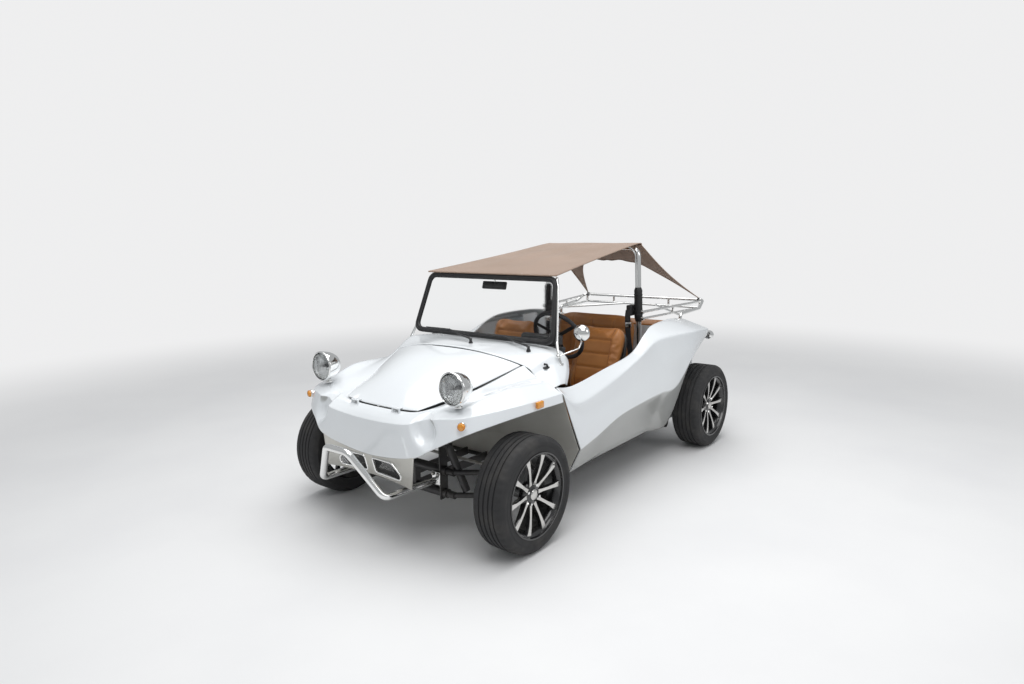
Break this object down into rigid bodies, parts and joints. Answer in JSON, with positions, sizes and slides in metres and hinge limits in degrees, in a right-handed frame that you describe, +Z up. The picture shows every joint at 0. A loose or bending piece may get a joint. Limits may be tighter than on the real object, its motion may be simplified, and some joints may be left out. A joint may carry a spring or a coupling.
{
  "type": "dune buggy",
  "caption": "Open four-seat dune buggy: moulded body on a flat pan, hinged hood, steered front wheels, rear engine, windshield, roll hoop and cloth top.",
  "frame": {"origin": "on the ground, at the middle of the buggy's length and width", "axes": "+Z up, -Y towards the front, +X towards the buggy's left side"},
  "size_m": [1.78, 3.3699, 1.5765],
  "materials": {
    "body_shell": "gloss",
    "pan": "satin",
    "inner_shell": "satin",
    "chrome": "polished",
    "black_metal": "satin",
    "black_plastic": "matte",
    "rubber": "matte",
    "glass": "clear",
    "lens": "clear",
    "amber": "gloss",
    "red": "gloss",
    "upholstery": "satin",
    "canvas": "matte",
    "steel": "satin",
    "alloy": "satin",
    "tyre": "matte"
  },
  "bodies": {
    "chassis": {"floor_pan": "pan", "front_bulkhead": "inner_shell", "rear_tub": "body_shell", "body_nose": "body_shell", "cowl": "body_shell", "body_side_left": "body_shell", "body_side_right": "body_shell", "front_valance": "body_shell", "grille_mesh": "black_metal", "nudge_bar": "chrome", "fuel_tank": "black_metal", "dashboard": "black_plastic", "windshield_frame": "rubber", "windshield_glass": "glass", "wipers": "black_plastic", "interior_mirror": "black_plastic", "side_mirror": "chrome", "headlights": "chrome", "headlight_lenses": "lens", "amber_lamps": "amber", "tail_lamps": "red", "steering_column": "black_metal", "front_seat_left": "upholstery", "front_seat_right": "upholstery", "rear_bench": "upholstery", "driver_controls": "black_metal", "roll_hoop": "chrome", "rear_rail": "chrome", "canvas_top": "canvas", "front_axle": "black_metal", "rear_axle": "black_metal", "engine": "steel", "exhaust": "steel"},
    "hood": {"hood": "body_shell"},
    "steering_wheel": {"steering_wheel": "black_plastic"},
    "tie_rods": {"tie_rods": "steel"},
    "knuckle_left": {"knuckle_left": "steel"},
    "knuckle_right": {"knuckle_right": "steel"},
    "wheel_front_left": {"rim_front_left": "alloy", "tyre_front_left": "tyre"},
    "wheel_front_right": {"rim_front_right": "alloy", "tyre_front_right": "tyre"},
    "wheel_rear_left": {"rim_rear_left": "alloy", "tyre_rear_left": "tyre"},
    "wheel_rear_right": {"rim_rear_right": "alloy", "tyre_rear_right": "tyre"}
  },
  "joints": [
    {"name": "hood_hinge", "type": "hinge", "parent": "chassis", "child": "hood", "pos_m": [0, -1.395, 0.762], "axis": [1, 0, 0], "range_deg": [0, 50]},
    {"name": "steer_left", "type": "hinge", "parent": "chassis", "child": "knuckle_left", "pos_m": [0.6165, -1.045, 0.316], "axis": [0, 0, 1], "range_deg": [-30, 30]},
    {"name": "steer_right", "type": "hinge", "parent": "chassis", "child": "knuckle_right", "pos_m": [-0.6165, -1.045, 0.316], "axis": [0, 0, 1], "range_deg": [-30, 30]},
    {"name": "tie_rod_slide", "type": "slide", "parent": "chassis", "child": "tie_rods", "axis": [1, 0, 0], "range_m": [-0.058, 0.058]},
    {"name": "steering_wheel_turn", "type": "hinge", "parent": "chassis", "child": "steering_wheel", "pos_m": [0.38, -0.165, 1.01], "axis": [0, 0.8829, 0.4695], "range_deg": [-480, 480]},
    {"name": "spin_front_left", "type": "hinge", "parent": "knuckle_left", "child": "wheel_front_left", "pos_m": [0.7565, -1.045, 0.316], "axis": [1, 0, 0], "continuous": true},
    {"name": "spin_front_right", "type": "hinge", "parent": "knuckle_right", "child": "wheel_front_right", "pos_m": [-0.7565, -1.045, 0.316], "axis": [1, 0, 0], "continuous": true},
    {"name": "spin_rear_left", "type": "hinge", "parent": "chassis", "child": "wheel_rear_left", "pos_m": [0.7825, 1.205, 0.316], "axis": [1, 0, 0], "continuous": true},
    {"name": "spin_rear_right", "type": "hinge", "parent": "chassis", "child": "wheel_rear_right", "pos_m": [-0.7825, 1.205, 0.316], "axis": [1, 0, 0], "continuous": true}
  ],
  "couplings": [
    {"joint": "steer_right", "follows": "steer_left", "ratio": 1},
    {"joint": "tie_rod_slide", "follows": "steer_left", "m_per_rad": -0.11},
    {"joint": "steering_wheel_turn", "follows": "steer_left", "ratio": 16}
  ]
}
